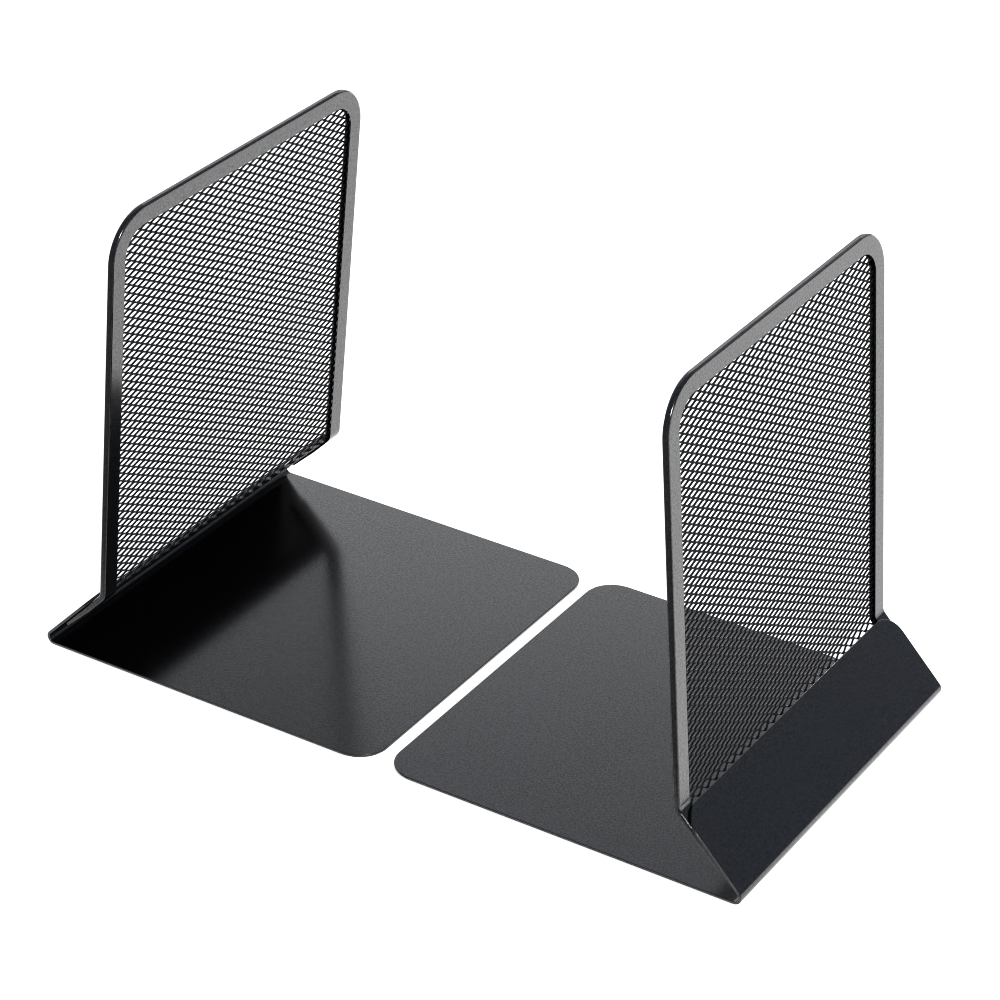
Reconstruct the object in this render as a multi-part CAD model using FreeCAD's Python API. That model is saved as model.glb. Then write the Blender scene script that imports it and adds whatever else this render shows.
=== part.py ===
import FreeCAD, Part
import math
import os

# A pair of free-standing bookends, millimetres, +Z up, X along the row of books.
# Each bookend is a folded steel base plate, an expanded-metal panel held in a rolled
# U-channel rim, and soft pads under the base. The flange at the back of the base plate
# slopes up over the bent feet of the rim and the mesh, and is welded to them.
# The origin is on the desk, midway between the two bookends.

# ---------------------------------------------------------------- driving dimensions
base_width = 130.0          # base plate, along Y
base_depth = 123.0          # back of the fold to the free edge, along X
plate_sheet = 0.9           # steel of the base plate
base_corner_radius = 10.0   # free corners of the base plate
fold_radius = 2.5           # outside of the fold between base and flange
flange_angle = 46.0         # flange above the desk, degrees
flange_height = 24.4        # top edge of the flange above the underside of the plate
flange_corner_radius = 8.0
plate_edge_radius = 0.25    # deburred and painted edges

rim_width = 129.0           # outside of the U-channel rim, along Y
panel_height = 156.0        # top of the rim above the underside of the plate
panel_lean = 4.5            # panel leans over the books, degrees from upright
panel_setback = 21.8        # fold to where the books' face of the rim would meet the plate
rim_depth = 2.2             # outside of the channel, across the panel
rim_sheet = 0.5
lip_width = 6.0             # visible lip, measured from the outside of the rim
rim_corner_radius = 15.0
rim_edge_radius = 0.8       # rolled edges of the channel
rim_bend_radius = 3.0       # on the flange's side, where the rim bends to the slope
foot_length = 20.0          # bend to the tip of the foot, down the slope
foot_taper_start = 9.0      # bend to where the foot begins to taper
foot_tip_radius = 0.8
foot_edge_radius = 0.72     # rolled edge of the foot, just under its tip radius

mesh_thickness = 1.1        # envelope of the expanded metal, which fills the channel
mesh_side_clearance = 0.3   # edge of the mesh to the inside of the channel
mesh_tail = 8.0             # mesh below the bend, hidden under the flange

pad_radius = 5.0
pad_height = 1.0
pad_edge_radius = 0.3
pad_inset = 16.0            # plate edges to the centre of a pad

rest_gap = 4.5              # between the two free edges at rest

# ---------------------------------------------------------------- modelling aids
tolerance = 1e-6            # two lengths or places closer than this are the same
cut_overshoot = 1.0         # how far a cutter runs past the solid it opens
band_slack = 1.5            # a band face's area, at most, over its length times the sheet

# ---------------------------------------------------------------- worked-out values
lean = math.radians(panel_lean)
slope = math.radians(flange_angle)
bend_turn = math.pi / 2 - lean - slope
panel_top = (panel_height - rim_depth * math.sin(lean)) / math.cos(lean)    # along the panel

UP_PANEL = FreeCAD.Vector(math.sin(lean), 0, math.cos(lean))
OUT_OF_PANEL = FreeCAD.Vector(-math.cos(lean), 0, math.sin(lean))     # away from the books
UP_SLOPE = FreeCAD.Vector(math.cos(slope), 0, math.sin(slope))
UNDER_SLOPE = FreeCAD.Vector(math.sin(slope), 0, -math.cos(slope))    # into the wedge
ACROSS = FreeCAD.Vector(0, 1, 0)
PANEL_FOOT = FreeCAD.Vector(panel_setback, 0, 0)


# ---------------------------------------------------------------- shared geometry
def fold_corner():
    """Where the outer faces of the base and the flange would meet without the fold radius."""
    return FreeCAD.Vector(fold_radius - fold_radius * math.tan((math.pi - slope) / 2), 0, 0)


def meet(point_a, along_a, point_b, along_b):
    """Crossing of two lines in the XZ plane."""
    cross = along_a.x * along_b.z - along_a.z * along_b.x
    gap = point_b - point_a
    step = (gap.x * along_b.z - gap.z * along_b.x) / cross
    return point_a + along_a * step


def rim_bend_corner(depth):
    """Sharp corner between panel and slope at a depth below the rim's outer face."""
    panel_point = PANEL_FOOT + OUT_OF_PANEL * (rim_depth - depth)
    slope_point = fold_corner() + UNDER_SLOPE * (plate_sheet + depth)
    return meet(panel_point, UP_PANEL, slope_point, UP_SLOPE)


def rounded_path(corners, radii):
    """Edges along a polyline whose inner corners are rounded."""
    edges = []
    start = corners[0]
    for before, corner, after, radius in zip(corners, corners[1:], corners[2:], radii):
        back = (before - corner).normalize()
        ahead = (after - corner).normalize()
        half_angle = back.getAngle(ahead) / 2
        tangent = radius / math.tan(half_angle)
        bisector = (back + ahead).normalize()
        first = corner + back * tangent
        middle = corner + bisector * (radius / math.sin(half_angle) - radius)
        last = corner + ahead * tangent
        edges.append(Part.makeLine(start, first))
        edges.append(Part.Arc(first, middle, last).toShape())
        start = last
    edges.append(Part.makeLine(start, corners[-1]))
    return edges


def face_inside(edges):
    """Flat face bounded by edges given in any order."""
    loop = Part.sortEdges(edges)[0]
    return Part.Face(Part.Wire(loop))


def face_between(side_a, side_b):
    """Flat face between two open edge chains that run the same way."""
    start = Part.makeLine(side_a[0].Vertexes[0].Point, side_b[0].Vertexes[0].Point)
    end = Part.makeLine(side_a[-1].Vertexes[-1].Point, side_b[-1].Vertexes[-1].Point)
    return face_inside(side_a + side_b + [start, end])


def spread(face, width):
    """Solid of the face, centred across Y."""
    centred = face.translated(ACROSS * (-width / 2))
    return centred.extrude(ACROSS * width)


def round_edges(solid, radius, chosen):
    """Round the solid's edges for which chosen(edge) is true."""
    return solid.makeFillet(radius, [edge for edge in solid.Edges if chosen(edge)])


# ---------------------------------------------------------------- base plate
def through_plate(edge):
    """True for a short straight edge through the plate's sheet, at a sharp corner."""
    return isinstance(edge.Curve, Part.Line) and abs(edge.Length - plate_sheet) < tolerance


def is_band_face(face):
    """True for a face of the narrow band round the plate."""
    longest = max(edge.Length for edge in face.Edges)
    return face.Area < longest * plate_sheet * band_slack


def plate_section():
    """Side view of the base and the flange."""
    corner = fold_corner()
    flange_end = corner + UP_SLOPE * (flange_height / math.sin(slope))
    free_end = FreeCAD.Vector(base_depth, 0, 0)
    plate_top = FreeCAD.Vector(0, 0, plate_sheet)
    sheet_in = UNDER_SLOPE * plate_sheet
    inner_radius = fold_radius - plate_sheet
    inner_corner = meet(plate_top, FreeCAD.Vector(1, 0, 0), corner + sheet_in, UP_SLOPE)
    return face_between(
        rounded_path([free_end, corner, flange_end], [fold_radius]),
        rounded_path([free_end + plate_top, inner_corner, flange_end + sheet_in], [inner_radius]),
    )


def make_base_plate():
    plate = spread(plate_section(), base_width)

    def free_corner(edge):
        return through_plate(edge) and edge.CenterOfMass.x > base_depth / 2

    plate = round_edges(plate, base_corner_radius, free_corner)
    plate = round_edges(plate, flange_corner_radius, through_plate)

    def outline_edge(edge):
        faces = plate.ancestorsOfType(edge, Part.Face)
        return sum(is_band_face(face) for face in faces) == 1

    return round_edges(plate, plate_edge_radius, outline_edge)


# ---------------------------------------------------------------- U-channel rim
def panel_placement():
    """Local X across, local Y up the panel, local Z away from the books, from the books' face."""
    rotation = FreeCAD.Rotation(ACROSS * -1, UP_PANEL, OUT_OF_PANEL, "XYZ")
    return FreeCAD.Placement(PANEL_FOOT, rotation)


def panel_slab(inset, bottom, corner_radius, z_low, z_high):
    """Slab with rounded top corners in panel coordinates, inset from the rim's outside."""
    half = rim_width / 2 - inset
    top = panel_top - inset
    corners = [
        FreeCAD.Vector(-half, bottom, z_low),
        FreeCAD.Vector(-half, top, z_low),
        FreeCAD.Vector(half, top, z_low),
        FreeCAD.Vector(half, bottom, z_low),
    ]
    edges = rounded_path(corners, [corner_radius, corner_radius])
    edges.append(Part.makeLine(corners[-1], corners[0]))
    return face_inside(edges).extrude(FreeCAD.Vector(0, 0, z_high - z_low))


def joint_height():
    """Height up the panel, in panel coordinates, where the bent feet end and the stiles begin."""
    tangent = (rim_bend_radius + rim_depth) * math.tan(bend_turn / 2)
    corners = [rim_bend_corner(depth) for depth in (0, rim_depth)]
    return max((corner - PANEL_FOOT).dot(UP_PANEL) for corner in corners) + tangent


def make_rim_frame():
    """The straight stiles and the top rail, a channel open to the mesh."""
    bottom = joint_height()
    below = bottom - cut_overshoot
    body = panel_slab(0, bottom, rim_corner_radius, 0, rim_depth)

    def rolled_edge(edge):
        lies_flat = edge.BoundBox.ZLength < tolerance
        return lies_flat and edge.CenterOfMass.y > bottom + tolerance

    body = round_edges(body, rim_edge_radius, rolled_edge)
    channel = panel_slab(rim_sheet, below, rim_corner_radius - rim_sheet, rim_sheet, rim_depth - rim_sheet)
    window = panel_slab(
        lip_width, below, rim_corner_radius - lip_width, -cut_overshoot, rim_depth + cut_overshoot
    )
    frame = body.cut(channel).cut(window)
    frame.Placement = panel_placement()
    return frame


def foot_profile(inset, top):
    """Side view of a foot: bend, slope, taper and round tip, inset on every side but the top."""
    shallow = inset
    deep = rim_depth - inset
    outer_top = PANEL_FOOT + UP_PANEL * top + OUT_OF_PANEL * deep
    inner_top = PANEL_FOOT + UP_PANEL * top + OUT_OF_PANEL * shallow
    tip_centre = rim_bend_corner(0) - UP_SLOPE * foot_length + UNDER_SLOPE * foot_tip_radius
    tip_radius = foot_tip_radius - inset
    tip_outer = tip_centre - UNDER_SLOPE * tip_radius
    tip_inner = tip_centre + UNDER_SLOPE * tip_radius
    tip_end = tip_centre - UP_SLOPE * tip_radius
    taper_start = rim_bend_corner(0) - UP_SLOPE * foot_taper_start + UNDER_SLOPE * deep
    outer_side = rounded_path([outer_top, rim_bend_corner(shallow), tip_outer], [rim_bend_radius + shallow])
    inner_side = rounded_path([inner_top, rim_bend_corner(deep), taper_start], [rim_bend_radius + deep])
    tip = Part.Arc(tip_outer, tip_end, tip_inner).toShape()
    taper = Part.makeLine(taper_start, tip_inner)
    closing = Part.makeLine(outer_top, inner_top)
    return face_inside(outer_side + inner_side + [tip, taper, closing])


def make_foot():
    """The foot at the -Y side, hollow like the stile above it."""
    side = -rim_width / 2
    top = joint_height()
    body = foot_profile(0, top).translated(ACROSS * side).extrude(ACROSS * lip_width)
    joint_point = PANEL_FOOT + UP_PANEL * top

    def rolled_edge(edge):
        on_side = edge.BoundBox.YMax < side + tolerance
        at_joint = abs((edge.CenterOfMass - joint_point).dot(UP_PANEL)) < tolerance
        return on_side and not at_joint

    body = round_edges(body, foot_edge_radius, rolled_edge)
    hollow = foot_profile(rim_sheet, top + cut_overshoot).translated(ACROSS * (side + rim_sheet))
    return body.cut(hollow.extrude(ACROSS * lip_width))


def make_panel_rim():
    foot = make_foot()
    other_foot = foot.mirror(FreeCAD.Vector(0, 0, 0), ACROSS)
    return make_rim_frame().fuse([foot, other_foot]).removeSplitter()


# ---------------------------------------------------------------- expanded-metal panel
def mesh_side(below_face):
    """Side view of one face of the mesh, at a depth below the rim's outer face."""
    bend = rim_bend_corner(below_face)
    top = bend + UP_PANEL * panel_top
    tail = rim_bend_corner(0) - UP_SLOPE * mesh_tail + UNDER_SLOPE * below_face
    return rounded_path([top, bend, tail], [rim_bend_radius + below_face])


def make_mesh_panel():
    """Envelope of the expanded metal, from under the flange to the inside of the top rail."""
    depth = (rim_depth - mesh_thickness) / 2
    edge_inset = rim_sheet + mesh_side_clearance
    section = face_between(mesh_side(depth), mesh_side(depth + mesh_thickness))
    sheet = spread(section, rim_width - 2 * edge_inset)
    reach = base_depth
    outline = panel_slab(edge_inset, -reach, rim_corner_radius - edge_inset, -reach, reach)
    outline.Placement = panel_placement()
    return sheet.common(outline)


# ---------------------------------------------------------------- pads
def make_pad(x, y):
    pad = Part.makeCylinder(pad_radius, pad_height, FreeCAD.Vector(x, y, -pad_height))

    def lower_edge(edge):
        return edge.BoundBox.ZMax < -pad_height / 2

    return round_edges(pad, pad_edge_radius, lower_edge)


def make_pads():
    along = (pad_inset, base_depth - pad_inset)
    across = (pad_inset - base_width / 2, base_width / 2 - pad_inset)
    return Part.makeCompound([make_pad(x, y) for x in along for y in across])


# ---------------------------------------------------------------- the pair
def stand_left(shape):
    """Put a bookend's piece on the desk, left of the origin, with its panel leaning to +X."""
    return shape.translated(FreeCAD.Vector(-base_depth - rest_gap / 2, 0, pad_height))


def stand_right(shape):
    """The same bookend turned half round to face the left one."""
    turned = stand_left(shape)
    turned.rotate(FreeCAD.Vector(0, 0, 0), FreeCAD.Vector(0, 0, 1), 180)
    return turned


pieces = {
    "base_plate": make_base_plate(),
    "panel_rim": make_panel_rim(),
    "mesh_panel": make_mesh_panel(),
    "non_slip_pads": make_pads(),
}

os.makedirs("parts", exist_ok=True)
for name, shape in pieces.items():
    stand_left(shape).exportStep("parts/left_" + name + ".step")
    stand_right(shape).exportStep("parts/right_" + name + ".step")
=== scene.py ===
import math

import bpy
import numpy as np
from mathutils import Matrix, Vector


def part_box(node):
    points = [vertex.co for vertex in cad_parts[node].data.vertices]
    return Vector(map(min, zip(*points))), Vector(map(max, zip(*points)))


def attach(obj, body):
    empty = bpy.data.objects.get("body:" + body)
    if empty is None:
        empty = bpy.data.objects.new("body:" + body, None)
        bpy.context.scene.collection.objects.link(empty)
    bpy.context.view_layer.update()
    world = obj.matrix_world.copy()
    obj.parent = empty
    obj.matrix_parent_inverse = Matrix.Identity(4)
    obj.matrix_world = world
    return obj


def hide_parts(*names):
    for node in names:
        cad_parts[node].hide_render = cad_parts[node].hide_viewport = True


# Looks for a pair of bookends: satin black enamel on the plates and rims, expanded metal
# in place of the plain mesh panels, rubber pads, and a white studio. Metres, row frame.

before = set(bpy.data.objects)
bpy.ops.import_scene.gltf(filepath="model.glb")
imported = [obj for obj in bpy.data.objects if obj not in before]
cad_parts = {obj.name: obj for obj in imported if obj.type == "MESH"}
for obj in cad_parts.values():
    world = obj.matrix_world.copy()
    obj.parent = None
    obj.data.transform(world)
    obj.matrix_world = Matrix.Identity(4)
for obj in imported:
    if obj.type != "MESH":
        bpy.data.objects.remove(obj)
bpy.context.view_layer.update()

MM = 0.001

# ---------------------------------------------------------------- expanded metal, dimensions
LONG_WAY = 5.0 * MM                  # pitch of the openings across the panel
SHORT_WAY = 2.76 * MM                # pitch of the openings up the panel, two rows of strands
ROW_PITCH = SHORT_WAY / 2
STRAND_WIDTH = 0.58 * MM
STRAND_THICKNESS = 0.26 * MM
STRAND_TILT = math.radians(36)       # a strand's face, out of the plane of the panel
BOND_LENGTH = 0.7 * MM               # where two rows of strands meet
BOND_OVERLAP = 0.02 * MM             # rows run this far into each other at a bond
RAMP_LENGTH = LONG_WAY / 2 - BOND_LENGTH    # from one bond to the next, across the panel
RAMP_STEPS = (0.0, 0.2, 0.8, 1.0)    # points along a ramp
STRAND_CORNERS = ((-1, -1), (1, -1), (1, 1), (-1, 1))    # across the width and the thickness
ENVELOPE = 1.1 * MM                  # thickness of the CAD mesh panel
FLANGE_SLOPE = math.radians(46)      # tail of the mesh, above the desk
PANEL_SLOPE = math.radians(85.5)     # the leaning panel, above the desk
BEND_RADIUS = 4.1 * MM               # middle of the mesh, between tail and panel
CORNER_RADIUS = 14.1 * MM            # top corners of the mesh

# ---------------------------------------------------------------- paint, dimensions
NOISE_RANGE = (0.3, 0.7)             # where nearly all of a noise texture's values lie
DRIFT_SIZE = 25 * MM                 # patches of slightly different shade and gloss
DRIFT_GLOSS = 0.04                   # change in roughness over them, as a share of it
FLECK_SIZE = 0.6 * MM                # specks in the enamel's reflection
FLECK_RANGE = (0.6, 1.4)
FACING_DOWN = (-0.6, -0.2)           # Z of the normal, from under the sheet to its side
UPPER_SPECULAR = 0.5                        # specular level on faces that do not face down
SHADED_UNDERSIDE_SPECULAR = 0.1                      # and on faces that face down: painted shade, dimmer reflections underneath
RUBBER_GRAIN = 0.4 * MM
RUBBER_GRAIN_DEPTH = 0.05 * MM

# ---------------------------------------------------------------- studio, dimensions
FLOOR_HALF_SIZE = 8.0
FLOOR_GLOW = 0.8                     # on top of the light that falls on it, to the camera
FLOOR_EDGE = (-0.12, -0.02)          # Y over which the reflected floor goes from dim to bright
FLOOR_REFLECTED = (0.25, 1.9)        # its strength in reflections before and behind
BACKDROP_DIRECTION = (-0.6, 0.8, 0)
BACKDROP_SIDES = (0.2, 0.8)          # cosine to that direction, from its edge to fully lit
BACKDROP_TOP = (0.512, 0.556)        # Z of a ray over which the backdrop ends at the top
BACKDROP_FOOT = (0.20, 0.46)         # and over which it brightens from the desk up
ABOVE_BACKDROP = 0.2                 # shares of its brightness that are left there
BELOW_BACKDROP = 0.35
ROOM_COLOUR = (0.21, 0.24, 0.29)
BACKDROP_COLOUR = (1.65, 1.69, 1.74)
WHITE = (1.0, 1.0, 1.0)
KEY_PLACE = (1.17, -0.83, 0.93)
KEY_AIM = (0, 0, 0.05)
KEY_SIZE = 0.25
KEY_POWER = 20
CAMERA_AZIMUTH = math.radians(31.68)    # from the front, to the right
CAMERA_ELEVATION = math.radians(30.33)
CAMERA_ROLL = math.radians(1.1)
CAMERA_DISTANCE = 1.0783
CAMERA_TARGET = (-0.0177, 0.0324, 0.041)
CAMERA_LENS = 122.0                  # millimetres, on a sensor of SENSOR_WIDTH
SENSOR_WIDTH = 36.0
FILTER_WIDTH = 1.0                   # pixels, so that single strands stay crisp


# ---------------------------------------------------------------- expanded metal
def smooth(t):
    return t * t * (3 - 2 * t)


def panel_path(low, high):
    """Tail and top of the mesh's mid-surface in side view, from the panel's box."""
    half = ENVELOPE / 2
    tail = np.array([low.x + half * math.sin(FLANGE_SLOPE), low.z + half * math.cos(FLANGE_SLOPE)])
    top = np.array([high.x - half * math.sin(PANEL_SLOPE), high.z - half * math.cos(PANEL_SLOPE)])
    return tail, top


class BentSheet:
    """Side view of the left panel's mid-surface: a straight tail, a bend and a straight panel."""

    def __init__(self, low, high):
        tail, top = panel_path(low, high)
        along_tail = np.array([math.cos(FLANGE_SLOPE), math.sin(FLANGE_SLOPE)])
        along_panel = np.array([math.cos(PANEL_SLOPE), math.sin(PANEL_SLOPE)])
        to_corner, from_corner = np.linalg.solve(np.stack([along_tail, along_panel], 1), top - tail)
        tangent = BEND_RADIUS * math.tan((PANEL_SLOPE - FLANGE_SLOPE) / 2)
        self.bend_start = to_corner - tangent
        self.bend_end = self.bend_start + BEND_RADIUS * (PANEL_SLOPE - FLANGE_SLOPE)
        self.length = self.bend_end + from_corner - tangent
        across_tail = np.array([-along_tail[1], along_tail[0]])
        self.centre = tail + along_tail * self.bend_start + across_tail * BEND_RADIUS

    def place(self, along, off):
        """X and Z of points at a distance along the sheet and off it, towards the books."""
        in_bend = np.clip(along, self.bend_start, self.bend_end)
        angle = FLANGE_SLOPE + (in_bend - self.bend_start) / BEND_RADIUS
        straight = along - in_bend
        reach = BEND_RADIUS + off
        x = self.centre[0] + reach * np.sin(angle) + straight * np.cos(angle)
        z = self.centre[1] - reach * np.cos(angle) + straight * np.sin(angle)
        return x, z


def half_width_at(along, sheet, half_width):
    """Half the panel's width at a distance along the sheet, with its rounded top corners."""
    into_corner = max(0.0, along - (sheet.length - CORNER_RADIUS))
    return half_width - CORNER_RADIUS + math.sqrt(max(0.0, CORNER_RADIUS ** 2 - into_corner ** 2))


def strand_knots(shift, half):
    """Points across the panel at which a row of strands bends, and its two ends."""
    steps = [BOND_LENGTH / 2 + step * RAMP_LENGTH for step in RAMP_STEPS]
    period = np.array(steps + [LONG_WAY - step for step in reversed(steps)])
    count = math.ceil(half / LONG_WAY) + 1
    knots = np.concatenate([period + shift + LONG_WAY * i for i in range(-count, count)])
    inside = knots[np.abs(knots) < half - BOND_OVERLAP]
    return np.concatenate([[-half], inside, [half]])


def row_of_strands(row, sheet, half_width, tilt):
    """Corner points of one zigzag row, four for each knot, as across, along and off the sheet."""
    shift = LONG_WAY / 2 * (row % 2)
    start = row * ROW_PITCH
    across = strand_knots(shift, half_width_at(start + ROW_PITCH, sheet, half_width))
    from_bond = np.abs((across - shift + LONG_WAY / 2) % LONG_WAY - LONG_WAY / 2)
    rise = smooth(np.clip((from_bond - BOND_LENGTH / 2) / RAMP_LENGTH, 0, 1))
    half_flat = STRAND_WIDTH / 2 * math.cos(tilt)
    half_raised = STRAND_WIDTH / 2 * math.sin(tilt)
    climb = ROW_PITCH - 2 * half_flat + 2 * BOND_OVERLAP
    along = start + half_flat - BOND_OVERLAP + rise * climb
    off = half_raised * (1 - 2 * rise)
    heading = np.arctan2(np.gradient(along), np.gradient(across))
    corners = []
    for wide, thick in STRAND_CORNERS:
        flat = wide * half_flat - thick * STRAND_THICKNESS / 2 * math.sin(tilt)
        raised = wide * half_raised + thick * STRAND_THICKNESS / 2 * math.cos(tilt)
        corners.append((across - flat * np.sin(heading), along + flat * np.cos(heading), off + raised))
    return np.array(corners).transpose(2, 0, 1)


def ribbon_faces(count, first):
    """Quads round a ribbon of count four-cornered sections, and its two end caps."""
    sides = len(STRAND_CORNERS)
    faces = [(first + 3, first + 2, first + 1, first)]
    for section in range(count - 1):
        here = first + sides * section
        for side in range(sides):
            after = (side + 1) % sides
            faces.append((here + side, here + after, here + sides + after, here + sides + side))
    last = first + sides * (count - 1)
    faces.append((last, last + 1, last + 2, last + 3))
    return faces


def add_mesh(name, points, faces):
    """A new object in the scene, from points and faces."""
    data = bpy.data.meshes.new(name)
    data.from_pydata(points, [], faces)
    data.update()
    thing = bpy.data.objects.new(name, data)
    bpy.context.scene.collection.objects.link(thing)
    return thing


def expanded_metal(name, tilt, half_turned):
    """A whole panel of expanded metal, one closed zigzag ribbon for each row."""
    low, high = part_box("left_mesh_panel")
    sheet = BentSheet(low, high)
    ribbons = []
    faces = []
    point_count = 0
    for row in range(int(sheet.length / ROW_PITCH)):
        ribbon = row_of_strands(row, sheet, high.y, tilt)
        faces += ribbon_faces(len(ribbon), point_count)
        point_count += ribbon.shape[0] * ribbon.shape[1]
        ribbons.append(ribbon)
    across, along, off = np.concatenate(ribbons).reshape(-1, 3).T
    x, z = sheet.place(along, off)
    turn = -1 if half_turned else 1
    return add_mesh(name, np.stack([turn * x, turn * across, z], 1), faces)


# ---------------------------------------------------------------- nodes that materials and world share
def map_range(tree, source, start, end, interpolation="LINEAR"):
    """Source carried from the range start to the range end, and held beyond it."""
    node = tree.nodes.new("ShaderNodeMapRange")
    node.interpolation_type = interpolation
    tree.links.new(source, node.inputs["Value"])
    for socket, value in zip(("From Min", "From Max", "To Min", "To Max"), (*start, *end)):
        node.inputs[socket].default_value = value
    return node.outputs["Result"]


def times(tree, first, second):
    node = tree.nodes.new("ShaderNodeMath")
    node.operation = "MULTIPLY"
    tree.links.new(first, node.inputs[0])
    tree.links.new(second, node.inputs[1])
    return node.outputs["Value"]


def blend(tree, factor, first, second):
    """Colour that goes from first to second with the factor; each is a colour or an output."""
    mix = tree.nodes.new("ShaderNodeMix")
    mix.data_type = "RGBA"
    tree.links.new(factor, mix.inputs["Factor"])
    for name, colour in (("A", first), ("B", second)):
        if isinstance(colour, tuple):
            mix.inputs[name].default_value = (*colour, 1)
        else:
            tree.links.new(colour, mix.inputs[name])
    return mix.outputs["Result"]


# ---------------------------------------------------------------- materials
def new_material(name):
    """An empty node material, its node tree and its surface shader."""
    material = bpy.data.materials.new(name)
    material.use_nodes = True
    return material, material.node_tree, material.node_tree.nodes["Principled BSDF"]


def noise(tree, size, detail=2.0):
    """Noise in the object's own place, whose blotches are about size across."""
    place = tree.nodes.new("ShaderNodeTexCoord")
    texture = tree.nodes.new("ShaderNodeTexNoise")
    texture.inputs["Scale"].default_value = 1 / size
    texture.inputs["Detail"].default_value = detail
    tree.links.new(place.outputs["Object"], texture.inputs["Vector"])
    return texture.outputs["Fac"]


def bump(tree, source, depth):
    """Surface normal from a height map, depth in metres."""
    node = tree.nodes.new("ShaderNodeBump")
    node.inputs["Distance"].default_value = depth
    tree.links.new(source, node.inputs["Height"])
    return node.outputs["Normal"]


def underside_shade(tree):
    """Specular level that drops on faces that face down: painted shade that dims what the undersides
    reflect.
    """
    geometry = tree.nodes.new("ShaderNodeNewGeometry")
    parts = tree.nodes.new("ShaderNodeSeparateXYZ")
    tree.links.new(geometry.outputs["Normal"], parts.inputs["Vector"])
    return map_range(tree, parts.outputs["Z"], FACING_DOWN, (SHADED_UNDERSIDE_SPECULAR, UPPER_SPECULAR))


def enamel(name, dark, light, roughness, ior, grain, grain_depth):
    """Black baked enamel: orange-peel grain, gloss that drifts a little, and painted shade underneath,
    where faces that face down reflect less.
    """
    material, tree, shader = new_material(name)
    drift = noise(tree, DRIFT_SIZE)
    glosses = (roughness * (1 - DRIFT_GLOSS), roughness * (1 + DRIFT_GLOSS))
    flecks = map_range(tree, noise(tree, FLECK_SIZE), NOISE_RANGE, FLECK_RANGE)
    tree.links.new(blend(tree, drift, dark, light), shader.inputs["Base Color"])
    tree.links.new(map_range(tree, drift, NOISE_RANGE, glosses), shader.inputs["Roughness"])
    tree.links.new(bump(tree, noise(tree, grain), grain_depth), shader.inputs["Normal"])
    # specular level: painted shade on faces that face down, times the random flecks
    tree.links.new(times(tree, underside_shade(tree), flecks), shader.inputs["Specular IOR Level"])
    shader.inputs["IOR"].default_value = ior
    return material


def plate_enamel():
    return enamel(
        "plate_paint", dark=(0.0010, 0.0010, 0.0012), light=(0.0016, 0.0016, 0.0020),
        roughness=0.18, ior=1.7, grain=0.9 * MM, grain_depth=0.004 * MM,
    )


def rim_enamel():
    return enamel(
        "rim_paint", dark=(0.0010, 0.0010, 0.0012), light=(0.0016, 0.0016, 0.0020),
        roughness=0.16, ior=1.7, grain=0.9 * MM, grain_depth=0.003 * MM,
    )


def mesh_enamel():
    return enamel(
        "mesh_paint", dark=(0.0012, 0.0011, 0.0015), light=(0.0020, 0.0018, 0.0024),
        roughness=0.25, ior=1.36, grain=0.5 * MM, grain_depth=0.004 * MM,
    )


def rubber(name):
    """Matt black rubber with a fine moulded grain."""
    material, tree, shader = new_material(name)
    grain = noise(tree, RUBBER_GRAIN, detail=4.0)
    shade = blend(tree, grain, (0.012, 0.012, 0.012), (0.03, 0.03, 0.03))
    tree.links.new(shade, shader.inputs["Base Color"])
    tree.links.new(map_range(tree, grain, NOISE_RANGE, (0.7, 0.9)), shader.inputs["Roughness"])
    tree.links.new(bump(tree, grain, RUBBER_GRAIN_DEPTH), shader.inputs["Normal"])
    return material


def paint(thing, material):
    thing.data.materials.clear()
    thing.data.materials.append(material)


# ---------------------------------------------------------------- studio
def floor_paper():
    """White paper to the camera; to reflections, bright behind the bookends and dim before them."""
    material, tree, shader = new_material("floor_paper")
    shader.inputs["Base Color"].default_value = (0.9, 0.9, 0.9, 1)
    shader.inputs["Roughness"].default_value = 0.9
    shader.inputs["Specular IOR Level"].default_value = 0.0
    shader.inputs["Emission Color"].default_value = (*WHITE, 1)
    shader.inputs["Emission Strength"].default_value = FLOOR_GLOW
    place = tree.nodes.new("ShaderNodeTexCoord")
    parts = tree.nodes.new("ShaderNodeSeparateXYZ")
    glow = tree.nodes.new("ShaderNodeEmission")
    rays = tree.nodes.new("ShaderNodeLightPath")
    mix = tree.nodes.new("ShaderNodeMixShader")
    tree.links.new(place.outputs["Object"], parts.inputs["Vector"])
    strength = map_range(tree, parts.outputs["Y"], FLOOR_EDGE, FLOOR_REFLECTED)
    tree.links.new(strength, glow.inputs["Strength"])
    tree.links.new(rays.outputs["Is Camera Ray"], mix.inputs["Fac"])
    tree.links.new(glow.outputs["Emission"], mix.inputs[1])
    tree.links.new(shader.outputs["BSDF"], mix.inputs[2])
    tree.links.new(mix.outputs["Shader"], tree.nodes["Material Output"].inputs["Surface"])
    return material


def make_floor():
    size = FLOOR_HALF_SIZE
    corners = [(-size, -size, 0), (size, -size, 0), (size, size, 0), (-size, size, 0)]
    floor = add_mesh("floor", corners, [(0, 1, 2, 3)])
    paint(floor, floor_paper())


def make_key_light():
    light = bpy.data.lights.new("key_light", "AREA")
    light.shape = "SQUARE"
    light.size = KEY_SIZE
    light.energy = KEY_POWER
    softbox = bpy.data.objects.new("key_light", light)
    softbox.location = KEY_PLACE
    towards_aim = Vector(KEY_AIM) - Vector(KEY_PLACE)
    softbox.rotation_euler = towards_aim.to_track_quat("-Z", "Y").to_euler()
    bpy.context.scene.collection.objects.link(softbox)


def facing(tree, direction, turn, levels):
    """Brightness over levels as a ray's cosine to a direction goes over the range turn."""
    place = tree.nodes.new("ShaderNodeTexCoord")
    dot = tree.nodes.new("ShaderNodeVectorMath")
    dot.operation = "DOT_PRODUCT"
    dot.inputs[1].default_value = Vector(direction).normalized()
    tree.links.new(place.outputs["Generated"], dot.inputs[0])
    return map_range(tree, dot.outputs["Value"], turn, levels, "SMOOTHSTEP")


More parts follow.
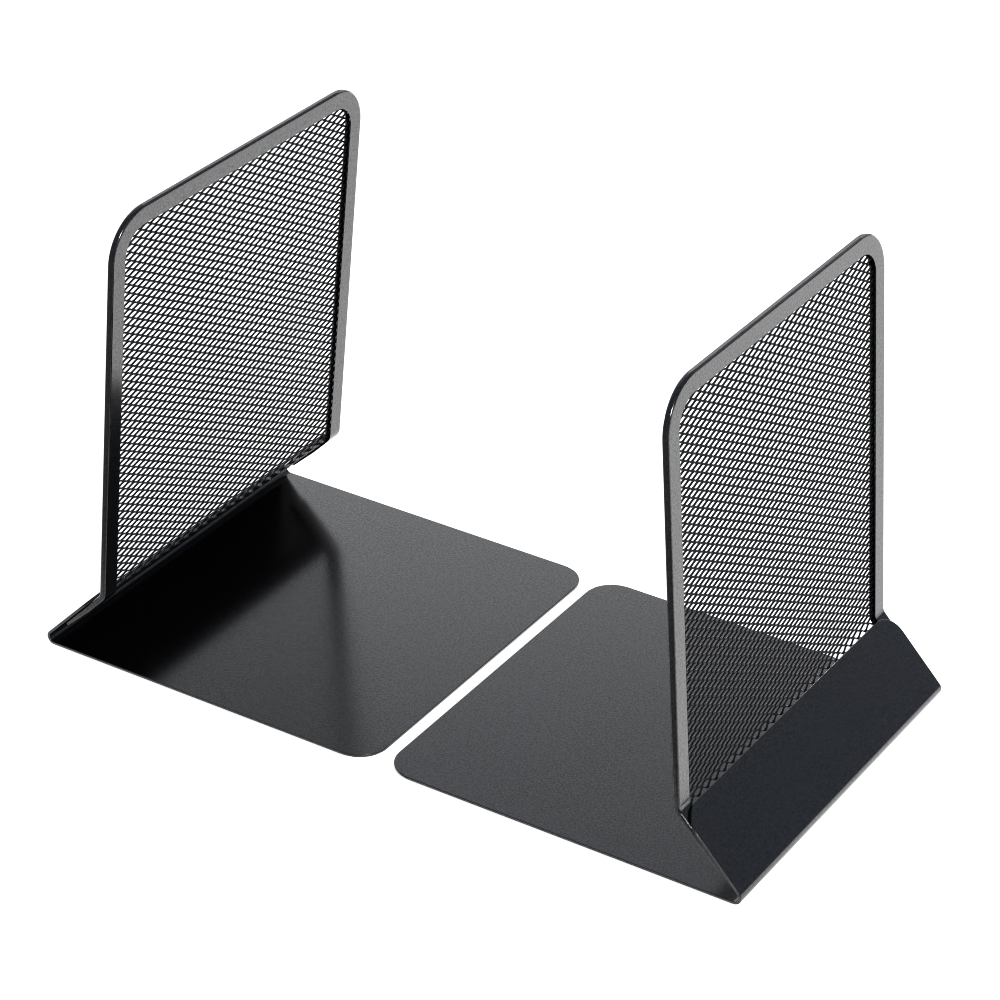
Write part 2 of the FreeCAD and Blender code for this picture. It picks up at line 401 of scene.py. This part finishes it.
def make_world():
    """White to the camera; to everything else, a lit backdrop at the back left and a dim room."""
    world = bpy.data.worlds.new("studio")
    world.use_nodes = True
    bpy.context.scene.world = world
    tree = world.node_tree
    sides = facing(tree, BACKDROP_DIRECTION, BACKDROP_SIDES, (0.0, 1.0))
    top = facing(tree, (0, 0, 1), BACKDROP_TOP, (1.0, ABOVE_BACKDROP))
    foot = facing(tree, (0, 0, 1), BACKDROP_FOOT, (BELOW_BACKDROP, 1.0))
    lit = times(tree, times(tree, sides, top), foot)
    glow = blend(tree, lit, ROOM_COLOUR, BACKDROP_COLOUR)
    rays = tree.nodes.new("ShaderNodeLightPath")
    seen = blend(tree, rays.outputs["Is Camera Ray"], glow, WHITE)
    tree.links.new(seen, tree.nodes["Background"].inputs["Color"])


def make_camera():
    """Long lens from the front right and above."""
    back = Vector((
        math.sin(CAMERA_AZIMUTH) * math.cos(CAMERA_ELEVATION),
        -math.cos(CAMERA_AZIMUTH) * math.cos(CAMERA_ELEVATION),
        math.sin(CAMERA_ELEVATION),
    ))
    right = Vector((math.cos(CAMERA_AZIMUTH), math.sin(CAMERA_AZIMUTH), 0))
    upright = Matrix((right, back.cross(right), back)).transposed()
    turned = upright @ Matrix.Rotation(CAMERA_ROLL, 3, "Z")
    place = Vector(CAMERA_TARGET) + back * CAMERA_DISTANCE
    camera = bpy.data.objects.new("camera", bpy.data.cameras.new("camera"))
    camera.data.lens = CAMERA_LENS
    camera.data.sensor_width = SENSOR_WIDTH
    camera.matrix_world = Matrix.Translation(place) @ turned.to_4x4()
    bpy.context.scene.collection.objects.link(camera)
    bpy.context.scene.camera = camera


# ---------------------------------------------------------------- the object
plate_paint = plate_enamel()
rim_paint = rim_enamel()
mesh_paint = mesh_enamel()
pad_rubber = rubber("pad_rubber")

# One mesh is the other turned over, so the tilt of its strands is the opposite.
for side, tilt in (("left", -STRAND_TILT), ("right", STRAND_TILT)):
    paint(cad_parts[side + "_base_plate"], plate_paint)
    paint(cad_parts[side + "_panel_rim"], rim_paint)
    paint(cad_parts[side + "_non_slip_pads"], pad_rubber)
    panel = expanded_metal(side + "_expanded_metal", tilt, half_turned=side == "right")
    paint(panel, mesh_paint)
    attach(panel, side + "_bookend")
    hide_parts(side + "_mesh_panel")

make_floor()
make_world()
make_key_light()
make_camera()
bpy.context.scene.view_settings.view_transform = "Standard"
bpy.context.scene.cycles.filter_width = FILTER_WIDTH
